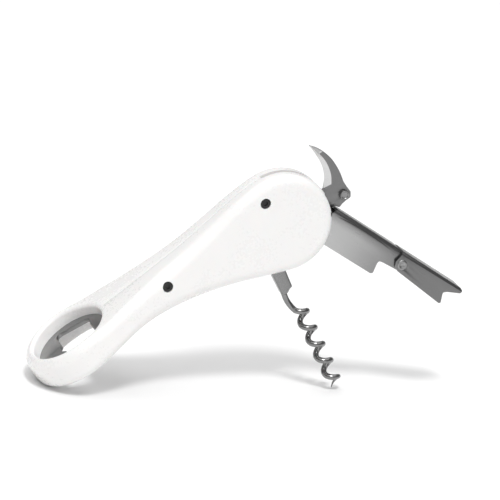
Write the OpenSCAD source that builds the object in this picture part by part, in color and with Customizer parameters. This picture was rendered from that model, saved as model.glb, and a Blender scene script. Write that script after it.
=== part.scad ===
// Pocket corkscrew with a two-step lever, a foil blade and a crown-cap opener.
// Each piece is drawn in the handle's frame: X runs from the loop to the hinge end, Z points
// to the spine, Y runs across, and the zero point is the centre of the round hinge head.
// place() then stands the whole tool on the rim of its loop and on the tip of its worm.

/* [Handle] */
// Radius of the round hinge head
head_r = 21.2; // [20:0.1:22]
// Distance from the head's centre to the loop's centre
loop_x = -100; // [-106:1:-96]
// Outer radius of the loop
loop_r = 21.2; // [20.5:0.1:22.5]
// Radius of the loop's opening
loop_hole_r = 16.3; // [15.5:0.1:16.5]
// Half the width of the channel that takes the folded lever and worm
channel_half = 6.1; // [6:0.05:6.2]
// Height of the channel's floor above the head's centre line, where the worm's shank lies
channel_floor = 2.8; // [2.7:0.1:3.2]

/* [Worm] */
// Radius of the worm's coil, to the middle of the wire
coil_r = 2.45; // [2.2:0.05:2.5]
// Radius of the worm's wire
wire_r = 1.25; // [1:0.05:1.3]
// Rise of one turn
pitch = 8.6; // [8:0.1:9]

/* [Lever] */
// Angle of the opened lever below the handle's long axis
lever_angle = 61.2; // [60:0.1:62]
// Thickness of the lever's sheet steel
sheet = 0.9; // [0.8:0.05:0.9]
// Half the outer width of the upper lever
upper_half = 4.8; // [4.6:0.05:4.8]
// Half the outer width of the lower lever
lower_half = 5.85; // [5.75:0.05:5.9]

/* [Opener] */
// Thickness of the opener plate
plate_t = 1.8; // [1.5:0.1:2]

/* [Placement] */
// Angle of the handle's long axis above the floor
tilt = 32.8; // [32.6:0.1:33]

/* [Hidden] */
$fn = 64;
big = 200;
worm_pivot = [-5.5, -5];
lever_pivot = [11.6, -11.4];
blade_pivot = [18.6, -6.2];
head_screw_at = [-3.8, 13.4];
neck_screw_at = [-56.2, 4.2];
pin_r = 1.5;
blade_pin_r = 1.1;
pin_half = 7;
blade_pin_half = 6.7;
running = 0.05;
fixed = 0.02;
barrel_r = 1.7;
screw_r = 1.0;
bolt_head_r = 2.2;
bolt_head_t = 0.8;
bolt_recess = 0.3;
plate_top = 1.4;
plate_edge_r = loop_hole_r + 1.4;
web_start = [22.8, -6.5];
rivet_at = [39.5, -5.1];
rivet_r = 1.3;
slot_half = 1.25;
slot_r = 10;
blade_half = 0.9;

// Outline of the handle at eight even stations from the loop's centre to the head's centre:
// [height above the centre line, depth below it, half width, edge radius]
stations = [[7.3, 6.9, loop_r, 4.0], [6.5, 6.1, 19.4, 4.3], [7.4, 5.9, 16.2, 5.3], [9.6, 7.1, 13.5, 6.0],
            [12.2, 9.5, 11.4, 5.8], [15.6, 13.0, 10.0, 5.2], [19.2, 17.7, 9.0, 4.7],
            [head_r, head_r, 8.4, 4.5]];
last = len(stations) - 1;

function mirrored(i) = i < 0 ? -i : i > last ? 2 * last - i : i;
function curve(a, b, c, d, f) = b + f * (c - a) / 2 + f * f * (a - 2.5 * b + 2 * c - d / 2)
                                + f * f * f * (1.5 * b - 1.5 * c + (d - a) / 2);
// Stations blended by a smooth curve through each of them
function station(x) = let(u = (x - loop_x) / -loop_x * last, i = min(floor(u), last - 1), f = u - i)
    curve(stations[mirrored(i - 1)], stations[i], stations[i + 1], stations[mirrored(i + 2)], f);
function outline(x) = x <= loop_x ? stations[0] : x < 0 ? station(x)
                    : stations[last];
function edge(rho, e) = sqrt(max(0, rho * rho - e * e)) - rho;
// Highest point of a section, counted from its middle, where the ends of the handle round off
function reach(x, half, rho) = x > 0 ? sqrt(head_r * head_r - x * x)
    : x < loop_x - (loop_r - rho) ? half - rho + sqrt(rho * rho - pow(loop_x - x - (loop_r - rho), 2)) : half;
function flat_reach(x, half, rho) = x > 0 ? sqrt(max(0.04, pow(head_r - rho, 2) - x * x)) : half - rho;
function half_width(x, z, half, rho, w) =
    x > 0 ? w + edge(rho, min(rho, max(0, norm([x, z]) - (head_r - rho))))
    : x < loop_x ? sqrt(max(0.0004, pow(loop_r + edge(rho, min(rho, max(0, abs(z) - (half - rho)))), 2)
                               - pow(x - loop_x, 2)))
    : w + edge(rho, min(rho, max(0, abs(z) - (half - rho))));
edge_steps = [90, 72, 54, 36, 18, 0];
// One closed section across the handle, as points around it
function section(x) = let(o = outline(x), half = (o[0] + o[1]) / 2, mid = (o[0] - o[1]) / 2, rho = o[3],
        top = reach(x, half, rho), low = min(top - 0.01, flat_reach(x, half, rho)),
        up = [for (a = edge_steps) low + (top - low) * sin(a)],
        zs = concat(up, [for (i = [len(up) - 1:-1:0]) -up[i]]),
        side = [for (z = zs) [x, half_width(x, z, half, rho, o[2]), mid + z]])
    concat(side, [for (i = [len(side) - 1:-1:0]) [side[i][0], -side[i][1], side[i][2]]]);
loop_cuts = [for (a = [4, 14, 26, 38, 50, 62, 76]) loop_x - loop_r * cos(a)];
neck_cuts = [for (i = [0:14]) loop_x * (1 - i / 14)];
head_cuts = [for (a = [14, 28, 40, 52, 63, 73, 81, 87]) head_r * sin(a)];

// Closed solid through a list of rings that have the same number of points
module skin(rings) {
    n = len(rings[0]);
    m = len(rings);
    sides = [for (i = [0:m - 2], j = [0:n - 1]) let(a = i * n + j, b = i * n + (j + 1) % n)
             each [[a, b, a + n], [b, b + n, a + n]]];
    caps = [[for (j = [n - 1:-1:0]) j], [for (j = [0:n - 1]) (m - 1) * n + j]];
    polyhedron([for (ring = rings) each ring], concat(sides, caps));
}

// The object stands on the floor with its box centred over the zero point
module place() translate([stand_x, 0, stand_z]) rotate([0, -tilt, 0]) children();
stand_x = 8.37;
stand_z = 74.54;

// Plate in the XZ plane between two places across the handle
module across(y0, y1) translate([0, y1, 0]) rotate([90, 0, 0]) linear_extrude(y1 - y0) children();
module rod(at, r, y0, y1) across(y0, y1) translate(at) circle(r);

// The handle droops towards the loop: a short arc of its centre line, then straight on
droop = 8;
droop_from = -62;
droop_length = 22;
droop_r = droop_length / (droop * PI / 180);
droop_end = [droop_from - droop_r * sin(droop), -droop_r * (1 - cos(droop))];
function drooped(p) = let(u = max(0, droop_from - p[0]), a = droop * min(u / droop_length, 1),
                          rest = max(0, u - droop_length))
    [max(p[0], droop_from) - droop_r * sin(a) - rest * cos(a) - p[2] * sin(a), p[1],
     -droop_r * (1 - cos(a)) - rest * sin(a) + p[2] * cos(a)];
// Turns what belongs to the loop with the straight end of the droop
module on_loop() translate([droop_end[0], 0, droop_end[1]]) rotate([0, -droop, 0])
    translate([loop_x - droop_from + droop_length, 0, 0]) children();

module blank() skin([for (x = concat(loop_cuts, neck_cuts, head_cuts)) [for (p = section(x)) drooped(p)]]);

// The channel is open below and rises in three steps from the loop to the head
channel_steps = [[loop_x + 14.5, -3], [loop_x + 23, 1.4], [loop_x + 50, channel_floor]];
module channel() for (step = channel_steps) translate([step[0], -channel_half, -30])
    cube([28 - step[0], 2 * channel_half, 30 + step[1]]);

// Wider place in the channel for the heads of the lever's rivet when the lever is folded away
module rivet_pockets() translate([-32.6, -6.6, -30]) cube([7, 13.2, 21.2]);

module blade_slot() rotate([90, 0, 0]) rotate([0, 0, -22]) rotate_extrude(angle = 112)
    translate([slot_r, -slot_half]) square([30, 2 * slot_half]);

module shell_cuts() {
    on_loop() {
        translate([0, 0, -30]) cylinder(h = 60, r = loop_hole_r);
        translate([0, 0, plate_top - plate_t - fixed]) cylinder(h = plate_t + 2 * fixed, r = plate_edge_r + fixed);
    }
    channel();
    blade_slot();
    for (at = [worm_pivot, lever_pivot]) rod(at, pin_r + fixed, -pin_half - fixed, pin_half + fixed);
    rod(blade_pivot, blade_pin_r + fixed, -blade_pin_half - fixed, blade_pin_half + fixed);
    for (bolt = [[head_screw_at, 8.4], [neck_screw_at, 13.2]]) {
        rod(bolt[0], barrel_r + fixed, -bolt[1] - 5, bolt[1] + 5);
        for (s = [-1, 1]) rod(bolt[0], bolt_head_r + fixed, min(s * (bolt[1] - bolt_head_t - bolt_recess), s * big),
                              max(s * (bolt[1] - bolt_head_t - bolt_recess), s * big));
    }
    back_spring_pocket();
    rivet_pockets();
}

// Moulded half of the handle, with its half of the loop, channel and slot
module shell(side) color("white") place() difference() {
    intersection() {
        blank();
        translate([-big, side > 0 ? 0 : -big, -big]) cube([2 * big, big, 2 * big]);
    }
    shell_cuts();
}
module left_shell() shell(-1);
module right_shell() shell(1);

// Stamped plate that lifts crown caps, held in a groove inside the loop
module opener_plate() color("silver") place() on_loop() translate([0, 0, plate_top - plate_t]) {
    difference() {
        cylinder(h = plate_t, r = plate_edge_r);
        translate([0, 0, -1]) linear_extrude(plate_t + 2) opener_window();
    }
    translate([11.2, -6.5, -1.4]) cube([1.4, 13, 1.5]);
}
// Window with round corners: a wide straight edge that presses on the cap and a narrow one that lifts it
module opener_window() {
    corner = 3;
    union() {
        polygon([[-2, -14.4], [-2, 14.4], [10.6, 9.2], [10.6, -9.2]]);
        polygon([[-5, -11.4], [-5, 11.4], [-2, 14.4], [-2, -14.4]]);
        for (s = [-1, 1]) translate([-2, s * 11.4]) circle(corner);
        translate([-4.4, 0]) circle(2.4);
    }
}

// Screw and barrel nut that clamp the two shells from both sides
module screw(at, half) color("black") place() {
    difference() {
        rod(at, bolt_head_r, -half + bolt_recess, -half + bolt_recess + bolt_head_t);
        across(-half, -half + bolt_recess + 0.45) translate(at) circle(r = 1.1, $fn = 6);
    }
    rod(at, screw_r, -half + bolt_recess + bolt_head_t, half * 0.2);
}
module screw_barrel(at, half) color("black") place() difference() {
    union() {
        rod(at, bolt_head_r, half - bolt_recess - bolt_head_t, half - bolt_recess);
        rod(at, barrel_r, -half * 0.6, half - bolt_recess - bolt_head_t);
    }
    rod(at, screw_r + fixed, -half, half * 0.4);
    across(half - bolt_recess - 0.45, half) translate(at) circle(r = 1.1, $fn = 6);
}
module head_screw() screw(head_screw_at, 8.4);
module head_screw_barrel() screw_barrel(head_screw_at, 8.4);
module neck_screw() screw(neck_screw_at, 13.2);
module neck_screw_barrel() screw_barrel(neck_screw_at, 13.2);

module worm_pin() color("silver") place() rod(worm_pivot, pin_r, -pin_half, pin_half);
module lever_pin() color("silver") place() rod(lever_pivot, pin_r, -pin_half, pin_half);
module blade_pin() color("dimgray") place() rod(blade_pivot, blade_pin_r, -blade_pin_half, blade_pin_half);

// Pair of rings on a pin, one on each side
module ring_pair(at, r_in, r_out, y0, y1) for (s = [-1, 1]) difference() {
    rod(at, r_out, min(s * y0, s * y1), max(s * y0, s * y1));
    rod(at, r_in, -big, big);
}
module worm_spacers() color("gainsboro") place()
    ring_pair(worm_pivot, pin_r + fixed, 2.8, 2.95, 3.7);
module lever_bushes() color("gainsboro") place()
    ring_pair(lever_pivot, pin_r + fixed, 2.6, upper_half + 0.1, channel_half - 0.05);
module blade_spacers() color("gainsboro") place()
    ring_pair(blade_pivot, blade_pin_r + fixed, 1.8, blade_half + 0.1, 3.7);

// Bent leaf spring clamped in the head; its free end steadies the worm's shank
module back_spring_shape() {
    polygon([[-9.5, 11], [-8.5, 11], [-8.5, 1.6], [-2.5, -0.4], [-2.5, -1.4], [-4.5, -1.4], [-9.5, 0.5]]);
}
module back_spring() color("silver") place() across(-2.4, 2.4) back_spring_shape();
module back_spring_pocket() translate([-9.5 - fixed, -2.4 - fixed, 0])
    cube([1 + 2 * fixed, 4.8 + 2 * fixed, 11 + fixed]);

// Folded sheet-steel holder that the worm is crimped into; it turns on the worm pin
module worm_shank() color("silver") place() difference() {
    union() {
        across(-2.9, 2.9) polygon([[-8.7, -5], [-2.3, -5], [-7.4, -17], [-7.8, -29.2], [-10.2, -30.4],
                                  [-13.4, -30.4], [-13.4, -17]]);
        rod(worm_pivot, 3.2, -2.9, 2.9);
    }
    rod(worm_pivot, pin_r + running, -5, 5);
    translate([-12.1, 0, -31]) cylinder(h = 9, r = wire_r - 0.02);
}

// Height of the coil's lowest crest on the hinge side, and the coil's middle line
coil_x = -9;
crest_z = -77.8;
first_turn = -150;
wire_sides = 8;
function coil_at(a) = [coil_x + coil_r * cos(a), coil_hand * coil_r * sin(a), crest_z + pitch * a / 360];
coil_hand = -1;
last_turn = 1595;
// From the coil's left side the wire straightens up into the shank
function wire_path() = concat([for (a = [first_turn:22.5:last_turn]) coil_at(a)],
    [[-11.9, coil_hand * 0.3, -37.4], [-12.3, 0, -34.4], [-12.1, 0, -31.5], [-12.1, 0, -23]]);
function unit(v) = v / norm(v);
function wire_ring(p, q, r) = let(t = unit(q - p), u = unit(cross(t, [0, 1, 0.001])), v = cross(t, u))
    [for (i = [0:wire_sides - 1]) p + r * (cos(i * 360 / wire_sides) * u + sin(i * 360 / wire_sides) * v)];
module worm() color("silver") place() {
    path = wire_path();
    n = len(path);
    skin([for (i = [0:n - 1]) wire_ring(path[i], i < n - 1 ? path[i + 1] : 2 * path[i] - path[i - 1],
                                        (wire_r - 0.06) * min(1, 0.12 + i / 9))]);
}

// Hooked foil blade, sharpened on its inner edge, that folds into the head
stud_at = [28.7, -3.8];
stud_top = 1.6;
// Points along the sharp inner edge and along the back, from the tang to the tip
blade_edge = [[20.3, 0.3], [21.9, 3.2], [24.3, 6.9], [25.4, 10.5], [25.7, 13.8], [25.4, 17.2], [24.9, 20.4],
              [24.3, 23.3]];
blade_back = [[30.4, -1], [31, 2.5], [31.2, 6], [31, 9.5], [30.4, 13.3], [28.9, 17.2], [26.8, 20.7], [24.4, 23.4]];
function along_curve(points) = let(n = len(points) - 1) [for (i = [0:n - 1], f = [0:0.25:0.75])
    curve(points[max(i - 1, 0)], points[i], points[i + 1], points[min(i + 2, n)], f), points[n]];
stud_r = 2;
stud_neck_r = 1;
function backwards(list) = [for (i = [len(list) - 1:-1:0]) list[i]];
module blade_shape() {
    polygon(concat(along_curve(blade_edge), backwards(along_curve(blade_back))));
    polygon([[17, -5.2], [18.6, -8.3], [21.3, -7.2], [22.9, -6.2], [24.7, -8.3], [26.2, -7.4], [30.5, -5.6],
             [30.7, 1.2], [21.1, 1.7]]);
    translate(stud_at) circle(3.1);
    translate(blade_pivot) circle(2.3);
}
module blade() color("silver") place() difference() {
    across(-blade_half, blade_half) blade_shape();
    rod(blade_pivot, blade_pin_r + running, -5, 5);
    rod(stud_at, stud_neck_r + fixed, -5, 5);
}
module thumb_stud() color("gray") place() {
    rod(stud_at, stud_r, -blade_half - stud_top, -blade_half);
    rod(stud_at, stud_neck_r, -blade_half, blade_half);
}

// Frame of the opened lever: X runs along its back, -Z into its channel
module lever_frame() translate([web_start[0], 0, web_start[1]]) rotate([0, lever_angle, 0]) children();
lever_pin_at = [-1.1, -12.2];
module upper_flank() difference() {
    union() {
        polygon([[0.8, 0], [35, 0], [37, -2.1], [39.5, -2.1], [40.5, -5], [39.5, -8.1], [32, -8.6], [30.2, -8.8],
                 [30, -9.4], [30.8, -14.6], [30.2, -15.2], [3, -15.5], [-1.1, -15.5], [-4.4, -12.2], [-4.4, -7.2],
                 [-2.5, -5.3], [-0.9, -1.9]]);
        translate(rivet_at) circle(3);
        translate(lever_pin_at) circle(3.3);
    }
    translate([-2.3, -3.5]) circle(1.9);
    translate(rivet_at) circle(rivet_r + running);
    translate(lever_pin_at) circle(pin_r + running);
}
module upper_lever() color("silver") place() lever_frame() {
    for (y = [-upper_half, upper_half - sheet]) across(y, y + sheet) upper_flank();
    translate([0.8, -upper_half, -sheet]) cube([34.2, 2 * upper_half, sheet]);
}
module lower_flank() difference() {
    union() {
        polygon([[36.9, 0], [69.4, 0], [70.4, -0.8], [70, -2], [64.5, -4.4], [63.1, -5.6], [64.9, -9.8], [64.3, -10.4],
                 [39.5, -8.3], [37, -6.5], [36.6, -3.4]]);
        translate(rivet_at) circle(3.2);
    }
    translate(rivet_at) circle(rivet_r + fixed);
}
module lower_lever() color("silver") place() lever_frame() {
    for (y = [-lower_half, lower_half - sheet]) across(y, y + sheet) lower_flank();
    translate([36.9, -lower_half, -sheet]) cube([32.5, 2 * lower_half, sheet]);
}
// Rivet that joins the two steps of the lever, with a raised head at each end
module joint_rivet() color("silver") place() lever_frame() {
    rod(rivet_at, rivet_r, -lower_half, lower_half);
    for (y = [-lower_half - 0.5, lower_half]) rod(rivet_at, 2.25, y, y + 0.5);
}
// Small leaf spring inside the joint that keeps the steps in line
module joint_spring() color("silver") place() lever_frame()
    across(-1.6, 1.6) polygon([[26, -sheet], [26, -1.4], [34, -1.8], [37.8, -3.2], [37.8, -2.8], [34, -1.3], [32, -sheet]]);

left_shell();
right_shell();
opener_plate();
head_screw();
head_screw_barrel();
neck_screw();
neck_screw_barrel();
worm_pin();
worm_spacers();
lever_pin();
lever_bushes();
blade_pin();
blade_spacers();
back_spring();
worm_shank();
worm();
blade();
thumb_stud();
upper_lever();
joint_spring();
lower_lever();
joint_rivet();
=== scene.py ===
import math

import bmesh
import bpy
import numpy as np
from mathutils import Matrix, Vector


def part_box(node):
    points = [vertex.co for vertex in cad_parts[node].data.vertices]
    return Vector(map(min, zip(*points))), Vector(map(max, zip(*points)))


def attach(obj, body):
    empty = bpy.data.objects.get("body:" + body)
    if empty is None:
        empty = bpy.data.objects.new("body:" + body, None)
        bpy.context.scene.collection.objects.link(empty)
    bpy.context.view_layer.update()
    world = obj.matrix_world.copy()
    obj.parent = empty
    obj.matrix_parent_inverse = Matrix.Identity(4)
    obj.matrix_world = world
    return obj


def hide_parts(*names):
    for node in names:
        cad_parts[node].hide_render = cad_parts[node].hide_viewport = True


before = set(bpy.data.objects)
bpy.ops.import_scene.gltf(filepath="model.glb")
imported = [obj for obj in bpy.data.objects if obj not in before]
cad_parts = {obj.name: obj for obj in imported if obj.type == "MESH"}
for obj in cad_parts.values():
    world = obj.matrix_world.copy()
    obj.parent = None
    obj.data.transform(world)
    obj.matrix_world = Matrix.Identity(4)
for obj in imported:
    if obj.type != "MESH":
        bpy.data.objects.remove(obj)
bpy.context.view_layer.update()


# --- The handle's own frame -------------------------------------------------------------------
# The whole tool is drawn in the handle's frame, in millimetres: x from the loop to the head,
# z to the spine, y across, with zero at the centre of the round head. Two pins tell how the
# handle stands in the row's frame.
MM = 0.001
worm_pivot = np.array([-5.5, -5.0])
lever_pivot = np.array([11.6, -11.4])
blade_pivot = np.array([18.6, -6.2])


def pin_centre(node):
    """Middle of a pin's box, as (X, Z) in millimetres."""
    low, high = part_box(node)
    return np.array([low[0] + high[0], low[2] + high[2]]) / 2 / MM


between = pin_centre("lever_pin") - pin_centre("worm_pin")
drawn = lever_pivot - worm_pivot
tilt = math.atan2(between[1], between[0]) - math.atan2(drawn[1], drawn[0])
along = np.array([math.cos(tilt), 0.0, math.sin(tilt)])
spineward = np.array([-math.sin(tilt), 0.0, math.cos(tilt)])
worm_pin_at = pin_centre("worm_pin")
head_centre = np.array([worm_pin_at[0], 0.0, worm_pin_at[1]])
head_centre -= worm_pivot[0] * along + worm_pivot[1] * spineward


def place(points):
    """Handle frame in millimetres to the row's frame in metres: one turn about Y and one shift."""
    p = np.asarray(points, dtype=float)
    turned = p[..., :1] * along + p[..., 2:] * spineward
    turned[..., 1] = p[..., 1]
    return (turned + head_centre) * MM


# --- Camera -----------------------------------------------------------------------------------
# A long lens from the front left and a little above, rolled so that the handle climbs to the
# right. Its axes are (x, z, -y) of the handle's frame, and the head's centre lies head_in_view
# millimetres to the right of the view's middle and above it.
view_right = np.array([0.867, -0.394, 0.306])
view_up = np.array([0.4846, 0.811, -0.3285])
camera_distance = 2000.0
view_width = 208.333
sensor_width = 36.0
far_end = 20.0
head_in_view = (12.54, 12.79)


def in_row(axis):
    """A direction from (x, z, -y) of the handle's frame to the row's frame."""
    return axis[0] * along + axis[1] * spineward - axis[2] * np.array([0.0, 1.0, 0.0])


right, up = in_row(view_right), in_row(view_up)
right /= np.linalg.norm(right)
up -= up @ right * right
up /= np.linalg.norm(up)
back = np.cross(right, up)
eye = head_centre - head_in_view[0] * right - head_in_view[1] * up + camera_distance * back
lens = bpy.data.cameras.new("camera")
lens.sensor_width = sensor_width
lens.lens = sensor_width * camera_distance / view_width
lens.clip_end = far_end
camera = bpy.data.objects.new("camera", lens)
camera.matrix_world = Matrix(np.vstack([np.column_stack([right, up, back, eye * MM]), [0, 0, 0, 1]]).tolist())
bpy.context.collection.objects.link(camera)
bpy.context.scene.camera = camera


# --- Floor and light --------------------------------------------------------------------------
# A plain white table top under one broad soft light, a sun for the shadow and a softbox in
# front. The room is dark grey, so that bare steel has something dark to mirror.
table_reach = 6.0
floor_mesh = bpy.data.meshes.new("floor")
table_corners = [(x * table_reach, y * table_reach, 0) for x, y in ((-1, -1), (1, -1), (1, 1), (-1, 1))]
floor_mesh.from_pydata(table_corners, [], [(0, 1, 2, 3)])
floor = bpy.data.objects.new("floor", floor_mesh)
bpy.context.collection.objects.link(floor)


class Field:
    """What a node gives at each point of a surface. Every finish is written as expressions on
    fields, and each expression adds the Math nodes that work it out."""

    def __init__(self, tree, socket):
        self.tree, self.socket = tree, socket

    def node(self, kind, out=0, settings=None, **values):
        """Adds a node: its settings first, then its sockets, by name or by number as i0, i1."""
        made = self.tree.nodes.new("ShaderNode" + kind)
        for name, value in (settings or {}).items():
            setattr(made, name, value)
        for name, value in values.items():
            key = int(name[1:]) if name[0] == "i" and name[1:].isdigit() else name.replace("_", " ")
            if isinstance(value, Field):
                self.tree.links.new(value.socket, made.inputs[key])
            else:
                made.inputs[key].default_value = value
        return Field(self.tree, made.outputs[out])

    def maths(self, operation, a, b):
        return self.node("Math", settings={"operation": operation}, i0=a, i1=b)

    def __add__(self, other):
        return self.maths("ADD", self, other)

    __radd__ = __add__

    def __mul__(self, other):
        return self.maths("MULTIPLY", self, other)

    def __sub__(self, other):
        return self.maths("SUBTRACT", self, other)

    def between(self, low, high):
        """0 below low, 1 above high, smooth between."""
        return self.node("MapRange", settings={"interpolation_type": "SMOOTHSTEP"}, i0=self, i1=low, i2=high)

    def mix(self, first, second):
        """first where this field is 0 and second where it is 1, for colours."""
        return self.node("Mix", out=2, settings={"data_type": "RGBA"}, i0=self, i6=first, i7=second)


def new_material(name, **sockets):
    """A Principled material with these plain socket values; gives the material, its object
    coordinates as a field, and a function that links fields to sockets."""
    material = bpy.data.materials.new(name)
    material.use_nodes = True
    tree = material.node_tree
    shader = tree.nodes["Principled BSDF"]
    for key, value in sockets.items():
        shader.inputs[key.replace("_", " ")].default_value = value
    places = Field(tree, tree.nodes.new("ShaderNodeTexCoord").outputs["Object"])

    def drive(**fields):
        for key, field in fields.items():
            tree.links.new(field.socket, shader.inputs[key.replace("_", " ")])

    return material, places, drive


def grey(level, warmth=0.0):
    """A near-grey colour; warmth lifts red and lowers blue."""
    return (level * (1 + warmth), level, level * (1 - warmth), 1.0)


floor_white, places, drive = new_material("table_white", Roughness=0.6, Specular_IOR_Level=0.2)
cloudy = places.node("TexNoise", Vector=places, Scale=3.0, Detail=2.0)
drive(Base_Color=cloudy.mix(grey(0.93), grey(0.95)))
floor.data.materials.append(floor_white)

room_brightness = 0.3
world = bpy.data.worlds.new("studio")
world.use_nodes = True
room = world.node_tree.nodes["Background"]
room.inputs["Color"].default_value = (1, 1, 1, 1)
room.inputs["Strength"].default_value = room_brightness
bpy.context.scene.world = world


def softbox(name, at, aim, size, watts):
    """A square area light at one point, turned to face another."""
    light = bpy.data.lights.new(name, "AREA")
    light.energy = watts
    light.size = size
    lamp = bpy.data.objects.new(name, light)
    lamp.location = at
    lamp.rotation_euler = (Vector(aim) - Vector(at)).to_track_quat("-Z", "Y").to_euler()
    bpy.context.collection.objects.link(lamp)


softbox("ceiling_light", (0, 0, 1.5), (0, 0, 0), 2.4, 22.0)
softbox("front_light", (-0.5, -2.0, 0.9), (0, 0, 0.05), 1.4, 5.0)
sun = bpy.data.lights.new("sun_light", "SUN")
sun.energy = 1.3
sun.angle = math.radians(12)
sun_lamp = bpy.data.objects.new("sun_light", sun)
towards_sun = Vector((-0.12, -0.45, 1.0))
sun_lamp.rotation_euler = towards_sun.to_track_quat("Z", "Y").to_euler()
bpy.context.collection.objects.link(sun_lamp)
# white stays white, with no film curve over it
bpy.context.scene.view_settings.view_transform = "Standard"


# --- Handle shells ----------------------------------------------------------------------------
# Two halves moulded in white ABS and screwed together across the tool, bent down a little
# towards the loop. They hold the opener's loop, the channel for the folded lever and worm, and
# the blade's slot. A station gives the top, the bottom, the half width and the edge radius.
head_r = 21.2
loop_x = -100.0
loop_r = 21.2
loop_hole_r = 16.3
loop_edge = 1.7
seam = 0.03
seam_round = 0.28
stations = np.array([[7.3, 6.9, loop_r, 4.0], [6.5, 6.1, 19.4, 4.3], [7.4, 5.9, 16.2, 5.3],
                     [9.6, 7.1, 13.5, 6.0], [12.2, 9.5, 11.4, 5.8], [15.6, 13.0, 10.0, 5.2],
                     [19.2, 17.7, 9.0, 4.7], [head_r, head_r, 8.4, 4.5]])
droop = math.radians(8)
droop_from, droop_length = -62.0, 22.0


def drooped(rings):
    """Bends the handle down towards the loop: its centre line follows an arc over the droop's
    length and then runs straight on, and each point keeps its height above that line."""
    rings = np.asarray(rings, dtype=float)
    x, z = rings[..., 0], rings[..., 2]
    past = np.maximum(droop_from - x, 0)
    turn = droop * np.minimum(past / droop_length, 1)
    straight = np.maximum(past - droop_length, 0)
    radius = droop_length / droop
    bent_x = np.maximum(x, droop_from) - (radius + z) * np.sin(turn) - straight * np.cos(turn)
    bent_z = -radius * (1 - np.cos(turn)) - straight * np.sin(turn) + z * np.cos(turn)
    return np.stack([bent_x, rings[..., 1], bent_z], -1)


def cubic(a, b, c, d, f):
    """The share f of the way from b to c, on the cubic whose slope at each of them is half the
    step between its two neighbours."""
    return b + f * (c - a) / 2 + f**2 * (a - 2.5 * b + 2 * c - d / 2) + f**3 * (1.5 * (b - c) + (d - a) / 2)


def outline_at(x):
    """Top, bottom, half width and edge radius at x: a smooth curve through the eight even
    stations, held level at both ends."""
    last = len(stations) - 1
    u = np.clip((np.asarray(x, dtype=float) - loop_x) / -loop_x, 0, 1) * last
    i = np.minimum(u.astype(int), last - 1)
    before, after = np.abs(i - 1), last - np.abs(last - (i + 2))
    return cubic(stations[before], stations[i], stations[i + 1], stations[after], (u - i)[..., None])


def half_sections(x):
    """Half of the handle's section at each x, from the seam over the side and back to the seam:
    flat top, quarter-round edge, flat side, edge and flat bottom. Past the head's centre the
    edge's depth is counted from the head's round outline."""
    x = np.asarray(x, dtype=float)[:, None]
    top, bottom, half, edge = outline_at(x[:, 0]).T[..., None]
    in_head = x > 0
    tall = np.where(in_head, np.sqrt(np.maximum(head_r**2 - x**2, 1e-6)), (top + bottom) / 2)
    flat = np.where(in_head, np.sqrt(np.maximum((head_r - edge) ** 2 - x**2, 0)), tall - edge)
    middle = (top - bottom) / 2
    arc = np.sin(np.linspace(math.pi / 2, 0, 15))
    rise = np.concatenate([flat + (tall - flat) * arc, flat * np.linspace(0.86, -0.86, 11),
                           -(flat + (tall - flat) * arc[::-1])], 1)
    depth = np.where(in_head, np.hypot(x, rise) - (head_r - edge), np.abs(rise) - (tall - edge))
    wide = half - edge + np.sqrt(np.maximum(edge**2 - np.clip(depth, 0, edge) ** 2, 0))
    lip = np.minimum(seam_round, tall / 2)
    inner_y = np.concatenate([np.full_like(x, seam), seam + lip * 0.3, seam + lip,
                              *[(half - edge) * k for k in (0.3, 0.55, 0.8)]], 1)
    inner_z = np.concatenate([tall - lip, tall - lip * 0.25, *[tall] * 4], 1)
    y = np.concatenate([inner_y, wide, inner_y[:, ::-1]], 1)
    z = middle + np.concatenate([inner_z, rise, -inner_z[:, ::-1]], 1)
    return np.stack([np.broadcast_to(x, y.shape), y, z], -1)


def new_piece(name, points, faces):
    """An object at the origin with this mesh, in metres."""
    mesh = bpy.data.meshes.new(name)
    mesh.from_pydata(np.asarray(points).reshape(-1, 3).tolist(), [], faces)
    piece = bpy.data.objects.new(name, mesh)
    bpy.context.collection.objects.link(piece)
    return piece


def tidy(mesh, merge=1e-7):
    """Merges doubles, drops faces with no area and turns all faces outwards."""
    work = bmesh.new()
    work.from_mesh(mesh)
    bmesh.ops.remove_doubles(work, verts=work.verts, dist=merge)
    bmesh.ops.dissolve_degenerate(work, edges=work.edges, dist=merge)
    bmesh.ops.recalc_face_normals(work, faces=work.faces)
    work.to_mesh(mesh)
    work.free()


def skin(name, rings):
    """Closed solid through rings of equal length, given in the handle's frame: quads between
    neighbouring rings and one flat face at each end."""
    rings = np.asarray(rings, dtype=float)
    count, size = rings.shape[:2]
    row, col = np.meshgrid(np.arange(count - 1), np.arange(size), indexing="ij")
    here, beside = row * size + col, row * size + (col + 1) % size
    quads = np.stack([here, beside, beside + size, here + size], -1).reshape(-1, 4).tolist()
    ends = [list(range(size))[::-1], list(range((count - 1) * size, count * size))]
    piece = new_piece(name, place(rings), quads + ends)
    tidy(piece.data)
    return piece


def circle(centre, radius, steps=48):
    """Points round a circle in the x, z plane."""
    turn = np.linspace(0, 2 * math.pi, steps, endpoint=False)
    return np.column_stack([centre[0] + radius * np.cos(turn), centre[1] + radius * np.sin(turn)])


def inset(outline, depth):
    """Outline moved inwards by depth along each corner's bisector."""
    side = np.roll(outline, -1, 0) - outline
    area = np.sum(outline[:, 0] * np.roll(outline[:, 1], -1) - np.roll(outline[:, 0], -1) * outline[:, 1])
    normal = np.column_stack([-side[:, 1], side[:, 0]]) * np.sign(area)
    normal /= np.linalg.norm(normal, axis=1)[:, None]
    last = np.roll(normal, 1, 0)
    return outline + depth * (normal + last) / np.maximum(1 + np.sum(normal * last, 1), 0.35)[:, None]


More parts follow.
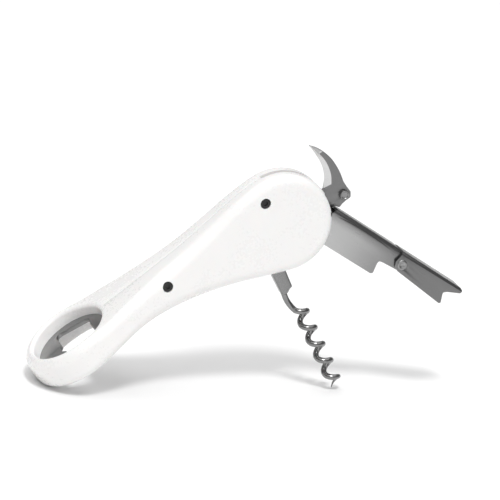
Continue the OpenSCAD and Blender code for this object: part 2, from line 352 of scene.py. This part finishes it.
def slab(name, outline, low, high, edge=0.0):
    """Plate between two places across the handle, its rim rounded by the edge radius: each
    step into the rounding insets the outline by edge minus the arc's reach."""
    outline = np.asarray(outline, dtype=float)
    rings = []
    turns = np.radians(np.linspace(90, 0, 4)) if edge else [0.0]
    steps = [(low + edge * (1 - math.sin(a)), edge * (1 - math.cos(a))) for a in turns]
    steps += [(high + low - y, d) for y, d in reversed(steps)]
    for y, depth in steps:
        flat = inset(outline, depth) if depth else outline
        rings.append(np.column_stack([flat[:, 0], np.full(len(flat), y), flat[:, 1]]))
    return skin(name, rings)


def lathe(name, centre, profile, steps=64):
    """Turned piece about an axis across the handle: each (radius, y) of the profile is a ring."""
    rings = []
    for radius, y in profile:
        flat = circle(centre, max(radius, 1e-4), steps)
        rings.append(np.column_stack([flat[:, 0], np.full(steps, y), flat[:, 1]]))
    return skin(name, rings)


def settle(piece, sharp=30):
    """Applies the modifiers, then shades smoothly except at edges sharper than the angle."""
    seen = piece.evaluated_get(bpy.context.evaluated_depsgraph_get())
    mesh = bpy.data.meshes.new_from_object(seen)
    piece.modifiers.clear()
    piece.data = mesh
    mesh.shade_smooth()
    mesh.set_sharp_from_angle(angle=math.radians(sharp))


def carve(piece, tool, how="DIFFERENCE"):
    """Cuts, joins or keeps what is common with a closed tool shape, which is then removed."""
    change = piece.modifiers.new(how, "BOOLEAN")
    change.operation = how
    change.solver = "EXACT"
    change.object = tool
    settle(piece)
    bpy.data.objects.remove(tool)


def fit(piece, finish, body, slot, *nodes):
    """Gives a piece its finish and says which body carries it and which nodes it stands for."""
    piece.data.materials.clear()
    piece.data.materials.append(finish)
    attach(piece, body)
    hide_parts(*nodes)


def half_handle(name, side):
    """One half of the handle's outside. Round the loop's far end the first section turns about
    the loop's centre; the rest are sections across the handle, closer together in the head."""
    along_neck = np.linspace(loop_x, 0, 64)
    in_head = head_r * np.sin(np.radians([*np.linspace(3, 78, 24), 81, 84, 86.5, 88.5, 89.6]))
    body = half_sections(np.concatenate([along_neck, in_head]))
    turn = np.radians(np.linspace(90, 90 / 30, 30))[:, None]
    first = body[0]
    end = np.stack([loop_x - first[:, 1] * np.sin(turn), seam + first[:, 1] * np.cos(turn),
                    np.broadcast_to(first[:, 2], (len(turn), len(first)))], -1)
    rings = np.concatenate([end, body])
    rings[..., 1] *= side
    return skin(name, drooped(rings))


def turned_upright(name, rows):
    """Closed tool shape about the loop's axis. A row is (radius, kind, height): kind 1 counts
    the height from the handle's top at that place, -1 from its bottom, 0 from the centre."""
    turn = np.linspace(0, 2 * math.pi, 160, endpoint=False)
    rings = []
    for radius, kind, height in rows:
        x, y = loop_x + radius * np.cos(turn), radius * np.sin(turn)
        shape = outline_at(x)
        z = height + np.where(kind > 0, shape[:, 0], 0) - np.where(kind < 0, shape[:, 1], 0)
        rings.append(np.column_stack([x, y, z]))
    return skin(name, drooped(rings))


# the hole's rounded rims, from the handle's faces inwards to the bore; clear is past every face
clear = 30.0
flare = np.radians(np.linspace(0, 90, 7))
rim = [(loop_hole_r + loop_edge * (1 - math.sin(a)), loop_edge * (1 - math.cos(a))) for a in flare]
spool = [(loop_hole_r + loop_edge, 0, -clear)]
spool += [(radius, -1, depth) for radius, depth in rim]
spool += [(radius, 1, -depth) for radius, depth in rim[::-1]]
spool += [(loop_hole_r + loop_edge, 0, clear)]
plate_top, plate_t, plate_r, plate_play = 1.4, 1.8, loop_hole_r + 1.4, 0.03
groove = [(plate_r, 0, plate_top - plate_t - plate_play), (plate_r, 0, plate_top + plate_play)]
channel_half = 6.1
channel_ceilings = [(-85.5, -77, -3), (-77, -50, 1.4), (-50, 28, 2.8)]
channel_top = [(x, z) for start, end, z in channel_ceilings for x in (start, end)]
channel = [(channel_top[0][0], -clear), *channel_top, (channel_top[-1][0], -clear)]
pocket_half = 6.6
pocket = [(-32.6, -clear), (-25.6, -clear), (-25.6, -8.8), (-32.6, -8.8)]
slot_half, slot_floor_r, slot_outer_r = 1.25, 10, 40
slot_turn = np.radians(np.linspace(-22, 90, 24))
slot = [np.column_stack([r * np.cos(t), r * np.sin(t)])
        for r, t in ((slot_floor_r, slot_turn), (slot_outer_r, slot_turn[::-1]))]
seat_r, seat_depth = 2.3, 1.1
screws = {"head": ((-3.8, 13.4), 8.4), "neck": ((-56.2, 4.2), 13.2)}

abs_white, places, drive = new_material("moulded_white", IOR=1.53, Coat_Weight=0.35, Coat_Roughness=0.12,
                                        Subsurface_Weight=0.06, Subsurface_Scale=0.004)
# faint flow marks and a fine moulded grain
flow = places.node("TexNoise", Vector=places, Scale=45.0, Detail=3.0)
peel = places.node("TexNoise", Vector=places, Scale=900.0, Detail=2.0)
drive(Base_Color=flow.mix(grey(0.83, 0.008), grey(0.88, 0.012)),
      Roughness=0.2 + flow * 0.1 + peel * 0.06,
      Normal=places.node("Bump", Height=peel, Strength=0.048, Distance=0.00002))

for side, node in ((-1, "left_shell"), (1, "right_shell")):
    shell = half_handle("shell_left" if side < 0 else "shell_right", side)
    carve(shell, turned_upright("spool", spool))
    carve(shell, turned_upright("groove", groove))
    carve(shell, slab("channel", channel, -channel_half, channel_half))
    carve(shell, slab("rivet_pocket", pocket, -pocket_half, pocket_half))
    carve(shell, slab("blade_slot", np.vstack(slot), -slot_half, slot_half))
    for at, half in screws.values():
        seat_low, seat_high = sorted((side * (half - seat_depth), side * (half + 8)))
        carve(shell, lathe("seat", at, [(seat_r, seat_low), (seat_r, seat_high)], 48))
    tidy(shell.data, 2e-6)
    settle(shell, 34)
    fit(shell, abs_white, "handle", "handle_plastic", node)


# --- Screws -----------------------------------------------------------------------------------
# Black-oxided steel screws, each with a barrel nut from the far side. Both show a round head
# with a broken rim and a hexagon socket, sunk just below the plastic.
black_oxide, places, drive = new_material("black_oxide", Metallic=0.6)
worn = places.node("TexNoise", Vector=places, Scale=1800.0, Detail=3.0)
drive(Base_Color=worn.mix(grey(0.02), grey(0.05)), Roughness=0.3 + worn * 0.25,
      Normal=places.node("Bump", Height=worn, Strength=0.1, Distance=0.00002))

screw_shaft_r, nut_shaft_r = 1.0, 1.7
bolt_head_r, bolt_head_t, sunk = 2.2, 0.8, 0.3
socket_r, socket_depth = 1.15, 0.6
for where, (at, half) in screws.items():
    face = half - sunk
    for side, shaft, name, node in ((-1, screw_shaft_r, "_screw_black", "_screw"),
                                    (1, nut_shaft_r, "_nut_black", "_screw_barrel")):
        profile = [(0, 1.5), (shaft, 1.5), (shaft, face - bolt_head_t), (bolt_head_r, face - bolt_head_t),
                   (bolt_head_r, face - 0.22), (2.12, face - 0.08), (1.95, face), (0, face)]
        screw = lathe(where + name, at, [(r, side * y) for r, y in profile])
        low, high = sorted((side * (face - socket_depth), side * clear))
        carve(screw, slab("socket", circle(at, socket_r, 6), low, high))
        fit(screw, black_oxide, "handle", "black_steel", where + node)


# --- Opener plate -----------------------------------------------------------------------------
# A stamped stainless plate held in a groove inside the loop. Its window has a wide straight
# edge that presses on a crown cap and, on the neck side, a bent lip that lifts the cap's skirt.
def steel(name, level, rough, grain_turn, stretch=(0.02, 0.0005, 0.0005), shine=0.0, painted_shades=()):
    """Stainless steel with a drawn grain: noise stretched along the grain's direction, a little
    brighter and smoother on the ridges, with faint broad clouding. Each painted shade darkens it
    along a direction, from nothing at one distance from its start to its own share at another."""
    material, places, drive = new_material(name, Metallic=1.0, Coat_Weight=shine, Coat_Roughness=0.08)
    grain = places.node("Mapping", settings={"vector_type": "TEXTURE"}, Vector=places,
                        Rotation=(0, grain_turn, 0), Scale=stretch)
    lines = grain.node("TexNoise", Vector=grain, Scale=1.0, Detail=3.0, Roughness=0.6)
    cloud = places.node("TexNoise", Vector=places, Scale=160.0, Detail=2.0)
    colour = (lines * 0.7 + cloud * 0.3).mix(grey(level * 0.86), grey(level * 1.1))
    # painted shade: each entry darkens the steel's colour along one direction, in place of the darker
    # reflections the surface would show
    for start, ahead, near, far, share in painted_shades:
        gone = places.node("VectorMath", out=1, settings={"operation": "DOT_PRODUCT"}, i0=places, i1=ahead)
        shade = (gone - float(np.dot(start, ahead))).between(near, far)
        colour = shade.mix(colour, grey(level * share))
    drive(Base_Color=colour,
          Roughness=rough + lines * 0.12 + cloud * 0.05,
          Normal=lines.node("Bump", Height=lines, Strength=0.12, Distance=0.00002))
    return material


plate_steel = steel("stamped_steel", 0.34, 0.24, -tilt, (0.002, 0.002, 0.0005))


def rounded(corners, radius, steps=5):
    """Outline whose corners are arcs: each arc touches both sides of its corner, at the given
    radius or as much as the shorter side allows."""
    corners = np.asarray(corners, dtype=float)
    out = []
    for before, corner, after in zip(np.roll(corners, 1, 0), corners, np.roll(corners, -1, 0)):
        a, b = before - corner, after - corner
        la, lb = np.linalg.norm(a), np.linalg.norm(b)
        a, b = a / la, b / lb
        half = math.acos(np.clip(a @ b, -1, 1)) / 2
        reach = min(radius / max(math.tan(half), 1e-6), 0.48 * la, 0.48 * lb)
        t = np.linspace(0, 1, steps)[:, None]
        start, end = corner + a * reach, corner + b * reach
        out.append((1 - t) ** 2 * start + 2 * t * (1 - t) * corner + t**2 * end)
    return np.vstack(out)


def soften(piece, width):
    """Breaks the edges sharper than 35 degrees, as tumbling does, and applies it."""
    bevel = piece.modifiers.new("soften", "BEVEL")
    bevel.width = width * MM
    bevel.segments = 2
    bevel.limit_method = "ANGLE"
    bevel.angle_limit = math.radians(35)
    bevel.use_clamp_overlap = True
    settle(piece)


def flat_plate(name, outline, low, high, edge):
    """A plate lying in the loop's plane: outline in (x, y) from the loop's centre, and a rim
    chamfered by the edge's depth."""
    rings = []
    for z, depth in ((low, edge), (low + edge, 0.0), (high - edge, 0.0), (high, edge)):
        flat = inset(outline, depth) if depth else outline
        rings.append(np.column_stack([loop_x + flat[:, 0], flat[:, 1], np.full(len(flat), z)]))
    return skin(name, drooped(rings))


disc = circle((0, 0), plate_r, 128)
plate = flat_plate("cap_plate", disc, plate_top - plate_t, plate_top, 0.1)
window = rounded([(-5, -13.9), (-5, -3.4), (-6.6, -1.6), (-6.6, 1.6), (-5, 3.4), (-5, 13.9), (10.6, 9.2),
                  (10.6, -9.2)], 2.6, 9)
carve(plate, flat_plate("window", window, -clear, clear, 0.0))
lip_half = 6.5
lip = rounded([(12.6, 0.7), (10.2, 0.7), (9.6, -0.7), (10.3, -1.4), (11.3, -0.2), (12.6, -0.1)], 0.5)
lip_ends = [np.column_stack([loop_x + lip[:, 0], np.full(len(lip), y), lip[:, 1]])
            for y in (-lip_half, lip_half)]
carve(plate, skin("lip", drooped(lip_ends)), "UNION")
soften(plate, 0.16)
fit(plate, plate_steel, "handle", "bright_steel", "opener_plate")


# --- Worm -------------------------------------------------------------------------------------
# Hardened spring wire wound into an open coil with a pointed tip, polished and plated. Its top
# end straightens and is crimped into the folded holder.
coil_x, coil_r, wire_r, pitch, crest_z = -9.0, 2.45, 1.25, 8.6, -77.8
coil_hand = -1
first_turn, last_turn = -150, 1600


def tube(name, path, radii):
    """Round tube along a path: at each point a circle square to the path, its axes made from
    the path's direction and the y axis."""
    ahead = np.gradient(path, axis=0)
    ahead /= np.linalg.norm(ahead, axis=1)[:, None]
    across = np.cross(ahead, [0.0, 1.0, 0.001])
    across /= np.linalg.norm(across, axis=1)[:, None]
    other = np.cross(ahead, across)
    turn = np.linspace(0, 2 * math.pi, 24, endpoint=False)[:, None]
    ring = np.cos(turn) * across[:, None] + np.sin(turn) * other[:, None]
    return skin(name, path[:, None] + radii[:, None, None] * ring)


turn = np.radians(np.arange(first_turn, last_turn, 8.0))
coil = np.column_stack([coil_x + coil_r * np.cos(turn), coil_hand * coil_r * np.sin(turn),
                        crest_z + pitch * turn / (2 * math.pi)])


def curve_through(points, steps):
    """Smooth curve through points: the cubic between each two neighbours, in this many steps."""
    p = np.asarray(points, dtype=float)
    p = np.vstack([2 * p[0] - p[1], p, 2 * p[-1] - p[-2]])
    f = np.linspace(0, 1, steps, endpoint=False)[:, None]
    out = []
    for a, b, c, d in zip(p[:-3], p[1:-2], p[2:-1], p[3:]):
        out.append(cubic(a, b, c, d, f))
    return np.vstack(out + [p[-2:-1]])


lead = curve_through([coil[-4], coil[-1], (-11.9, coil_hand * 0.35, -37.6), (-12.35, 0, -34.4),
                      (-12.2, 0, -31.0), (-12.1, 0, -26)], 8)
path = np.vstack([coil[:-4], lead])
length = np.concatenate([[0], np.cumsum(np.linalg.norm(np.diff(path, axis=0), axis=1))])
point_share, point_length = 0.06, 13.0
radii = wire_r * np.clip(point_share + (length / point_length) ** 0.8, 0, 1)
worm = tube("worm_coil", path, radii)
settle(worm, 60)
worm_steel = steel("polished_wire", 0.24, 0.1, tilt, (0.006, 0.004, 0.0008), 0.3)
fit(worm, worm_steel, "worm_arm", "worm_steel", "worm")


# --- Worm holder ------------------------------------------------------------------------------
# Stainless sheet folded round the wire and closed on itself; the fold shows as a rounded edge
# and the meeting edges as a narrow gap down the other side.
sheet_steel = steel("satin_sheet", 0.25, 0.2, -tilt)
holder_half, gap_half, pin_bore = 2.9, 0.35, 1.55
holder_outline = rounded([(-9.0, -2.1), (-2.0, -2.1), (-2.2, -7.2), (-7.3, -17), (-7.9, -29.0), (-9.2, -29.3),
                          (-10.8, -30.6), (-13.4, -30.6), (-13.6, -17), (-9.0, -6.5)], 1.6, 7)
holder = slab("worm_holder", holder_outline, -holder_half, holder_half, 1.0)
carve(holder, slab("gap", [(-8.9, -12), (-4, -12), (-4, -40), (-8.9, -40)], -gap_half, gap_half))
carve(holder, slab("bore", circle(worm_pivot, pin_bore), -clear, clear))
soften(holder, 0.12)
fit(holder, sheet_steel, "worm_arm", "satin_steel", "worm_shank")


# --- Two-step lever ---------------------------------------------------------------------------
# Two troughs of folded stainless sheet joined by a rivet. The upper one turns on the lever pin
# and has the first pull's tooth and a pressed rib on each flank; the lower one ends in the
# second pull's notch.
lever_start = np.array([22.8, -6.5])
lever_angle = math.radians(61.2)
sheet, bend, deep = 0.9, 1.6, 22.0
upper_half, lower_half = 4.8, 5.85


def on_lever(points):
    """Lever frame to handle frame in the x, z plane: x along the lever's back, z out of it."""
    p = np.asarray(points, dtype=float)
    ahead = np.array([math.cos(lever_angle), -math.sin(lever_angle)])
    out = np.array([math.sin(lever_angle), math.cos(lever_angle)])
    return lever_start + p[:, :1] * ahead + p[:, 1:] * out


def trough(name, half):
    """Long folded sheet, cut to its outline afterwards: the section is a U whose outer bends are
    arcs of radius bend and whose inner bends are a sheet's thickness smaller, carried straight
    along the lever."""
    turn = np.radians(np.linspace(0, 90, 8))
    outer = [(half - bend + bend * math.cos(a), -bend + bend * math.sin(a)) for a in turn]
    inner = [(half - bend + (bend - sheet) * math.cos(a), -bend + (bend - sheet) * math.sin(a)) for a in turn]
    right_side = [(half, -deep)] + outer
    under = inner[::-1] + [(half - sheet, -deep)]
    loop = right_side + [(-y, z) for y, z in right_side[::-1]]
    loop += [(-y, z) for y, z in under[::-1]] + under
    rings = []
    for u in (-12.0, 84.0):
        flat = on_lever([(u, z) for y, z in loop])
        rings.append(np.column_stack([flat[:, 0], [y for y, z in loop], flat[:, 1]]))
    return skin(name, rings)


rivet_at, rivet_bore = (39.5, -5.1), 1.35
lever_pin_at = (-1.1, -12.2)
relief_at, relief_r = (-2.3, -3.5), 1.9
upper_outline = rounded([(0.8, 0), (35, 0), (36.6, -1.5), (39.5, -2.1), (42.5, -3.2), (42.2, -7.6),
                         (39.5, -8.1), (32, -8.6), (30.1, -8.9), (30.0, -10.4), (30.9, -14.6),
                         (30.0, -15.3), (3, -15.5), (-2.4, -15.5), (-4.4, -13.2), (-4.4, -7.2),
                         (-2.5, -5.3), (-0.6, -2.4)], 1.2)
upper = trough("lever_upper_sheet", upper_half)
carve(upper, slab("outline", on_lever(upper_outline), -clear, clear), "INTERSECT")
for at, radius in ((relief_at, relief_r), (rivet_at, rivet_bore), (lever_pin_at, pin_bore)):
    carve(upper, slab("hole", on_lever(circle(at, radius)), -clear, clear))

# a rib is a flattened cigar lying along the flank, about half of it inside the sheet
rib_u, rib_z, rib_long, rib_high, rib_proud = 17.5, -2.7, 14.0, 1.35, 0.38
share = np.sin(np.radians(np.linspace(-88, 88, 33)))
swell = np.sqrt(1 - share**2)[:, None]
turn = np.linspace(0, 2 * math.pi, 24, endpoint=False)
z = rib_z + rib_high * swell * np.sin(turn)
flat = on_lever(np.column_stack([np.repeat(rib_u + rib_long * share, len(turn)), z.ravel()]))
flat = flat.reshape(*z.shape, 2)
for side in (-1, 1):
    y = side * (upper_half - 0.05) + rib_proud * swell * np.cos(turn)
    carve(upper, skin("rib", np.stack([flat[..., 0], y, flat[..., 1]], -1)), "UNION")
soften(upper, 0.14)

# painted shade: it darkens along the lever and towards its back, standing in for the steel's darker
# reflections there; one metre ahead and above give the directions
marks = on_lever([(0, 0), (1 / MM, 0), (0, 1 / MM)])
lever_origin, metre_ahead, metre_above = place(np.column_stack([marks[:, 0], np.zeros(3), marks[:, 1]]))
lever_steel = steel("satin_lever", 0.44, 0.17, lever_angle - tilt, (0.02, 0.0006, 0.0006),
                    painted_shades=[(lever_origin, metre_ahead - lever_origin, 0.004, 0.046, 0.42),
                            (lever_origin, metre_above - lever_origin, -0.0065, -0.0006, 0.4)])
fit(upper, lever_steel, "lever_arm", "satin_steel", "upper_lever")

lower_outline = rounded([(36.9, 0), (69.4, 0), (70.5, -0.8), (70, -2), (64.5, -4.4), (63.0, -5.6),
                         (64.9, -9.8), (64.2, -10.4), (39.5, -8.3), (37.2, -7.4), (36.3, -5.1),
                         (36.6, -3.0)], 0.8)
lower = trough("lever_lower_sheet", lower_half)
carve(lower, slab("outline", on_lever(lower_outline), -clear, clear), "INTERSECT")
carve(lower, slab("hole", on_lever(circle(rivet_at, 1.32)), -clear, clear))
soften(lower, 0.14)
fit(lower, lever_steel, "lever_tip", "satin_steel", "lower_lever")


# --- Joint rivet ------------------------------------------------------------------------------
# Tubular steel rivet through both troughs; each end is rolled over into a ring round a dimple.
rivet_steel = steel("rolled_rivet", 0.3, 0.2, tilt, (0.003, 0.003, 0.003))
rolled = [(0, 0.02), (0.55, 0.04), (0.95, 0.12), (1.15, 0.42), (1.5, 0.52), (1.95, 0.45),
          (2.22, 0.22), (2.25, 0.0), (1.3, 0.0)]
profile = [(r, -lower_half - t) for r, t in rolled] + [(r, lower_half + t) for r, t in rolled[::-1]]
rivet = lathe("joint_rivet_rolled", on_lever([rivet_at])[0], profile)
settle(rivet, 50)
fit(rivet, rivet_steel, "lever_tip", "pin_steel", "joint_rivet")


# --- Foil blade -------------------------------------------------------------------------------
# Hooked stainless blade, 1.8 mm thick, ground thin from the middle of its width to the inner
# edge. Its tang turns on the blade pin and carries the thumb stud.
blade_half, grind = 0.9, 0.42
blade_bore, stud_bore = 1.15, 1.02
edge_line = curve_through([(20.3, 0.3), (21.9, 3.2), (24.3, 6.9), (25.4, 10.5), (25.7, 13.8), (25.4, 17.2),
                           (24.9, 20.4), (24.3, 23.3)], 8)
back_line = curve_through([(30.4, -1), (31, 2.5), (31.2, 6), (31, 9.5), (30.4, 13.3), (28.9, 17.2),
                           (26.8, 20.7), (24.4, 23.4)], 8)


def ground_blade(name):
    """Blade between two lines: across it the half thickness grows from the sharp edge to its
    full size at the grind line, and is broken at the back. The tip thins with its width."""
    share = np.concatenate([np.linspace(0, grind, 8), np.linspace(0.47, 0.97, 8), [1.0]])
    full = np.where(share < grind, 0.06 + 0.94 * (share / grind) ** 1.15, 1.0)
    full[-1] = 0.75
    width = np.concatenate([share, share[::-1]])
    thick = np.concatenate([full, -full[::-1]]) * blade_half
    flat = edge_line[:, None] * (1 - width)[None, :, None] + back_line[:, None] * width[None, :, None]
    room = np.linalg.norm(back_line - edge_line, axis=1)
    thin = np.clip(room / 3.0, 0.15, 1)
    return skin(name, np.stack([flat[..., 0], thin[:, None] * thick[None], flat[..., 1]], -1))


stud_at = (28.7, -3.8)
blade = ground_blade("foil_blade")
tang = rounded([(21.2, 2.6), (19.4, -1.8), (16.6, -4.4), (16.5, -8.2), (18.8, -8.5), (21.3, -7.2),
                (22.9, -6.2), (24.7, -8.3), (26.3, -7.4), (28.3, -6.9), (30.8, -6.6), (31.8, -4.4),
                (31.2, -1.2), (30.8, 2.4), (28.5, 3.4)], 1.1)
carve(blade, slab("tang", tang, -blade_half, blade_half, 0.12), "UNION")
for at, radius in ((blade_pivot, blade_bore), (stud_at, stud_bore)):
    carve(blade, slab("bore", circle(at, radius), -clear, clear))
soften(blade, 0.07)
blade_steel = steel("blade_flat_steel", 0.2, 0.22, -math.pi / 2 - tilt, (0.012, 0.0004, 0.0004))
bevel_steel = steel("blade_bevel_steel", 0.6, 0.14, math.pi / 8 - tilt, (0.004, 0.00025, 0.00025))
fit(blade, blade_steel, "blade_arm", "blade_steel", "blade")

# faces that lean a little off the flat are the ground bevel
blade.data.materials.append(bevel_steel)
normals = np.empty(len(blade.data.polygons) * 3)
blade.data.polygons.foreach_get("normal", normals)
steep = np.abs(normals[1::3])
blade.data.polygons.foreach_set("material_index", ((steep > 0.8) & (steep < 0.9995)).astype(int))


# --- Thumb stud -------------------------------------------------------------------------------
# Turned steel button riveted into the tang, on one side only, with a raised ring for the thumb.
stud_steel = steel("turned_stud", 0.28, 0.22, tilt, (0.003, 0.0003, 0.003))
profile = [(0, -2.12), (0.9, -2.14), (1.3, -2.2), (1.45, -2.42), (1.7, -2.5), (1.92, -2.38),
           (2.0, -2.1), (2.0, -0.9), (1.0, -0.9), (1.0, 0.9), (0, 0.9)]
stud = lathe("thumb_stud_turned", stud_at, profile)
settle(stud, 40)
fit(stud, stud_steel, "blade_arm", "stud_steel", "thumb_stud")


# --- Pins, spacers and springs ----------------------------------------------------------------
# Turned pins, moulded spacers and rolled leaf springs inside the handle and the joint. Their
# shapes are plain, so they keep the model's own solids and get their finishes here.
pin_steel = steel("turned_pin", 0.5, 0.2, tilt, (0.003, 0.0004, 0.003))
spring_steel = steel("rolled_spring", 0.6, 0.22, lever_angle - tilt)
spacer_white, places, drive = new_material("spacer_white", IOR=1.5)
speck = places.node("TexNoise", Vector=places, Scale=1200.0, Detail=2.0)
drive(Base_Color=speck.mix(grey(0.68), grey(0.76)), Roughness=0.5 + speck * 0.1)
finishes = {"worm_pin": pin_steel, "lever_pin": pin_steel, "blade_pin": black_oxide,
            "worm_spacers": spacer_white, "lever_bushes": spacer_white, "blade_spacers": spacer_white,
            "back_spring": spring_steel, "joint_spring": spring_steel}
for node, finish in finishes.items():
    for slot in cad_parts[node].material_slots:
        slot.material = finish
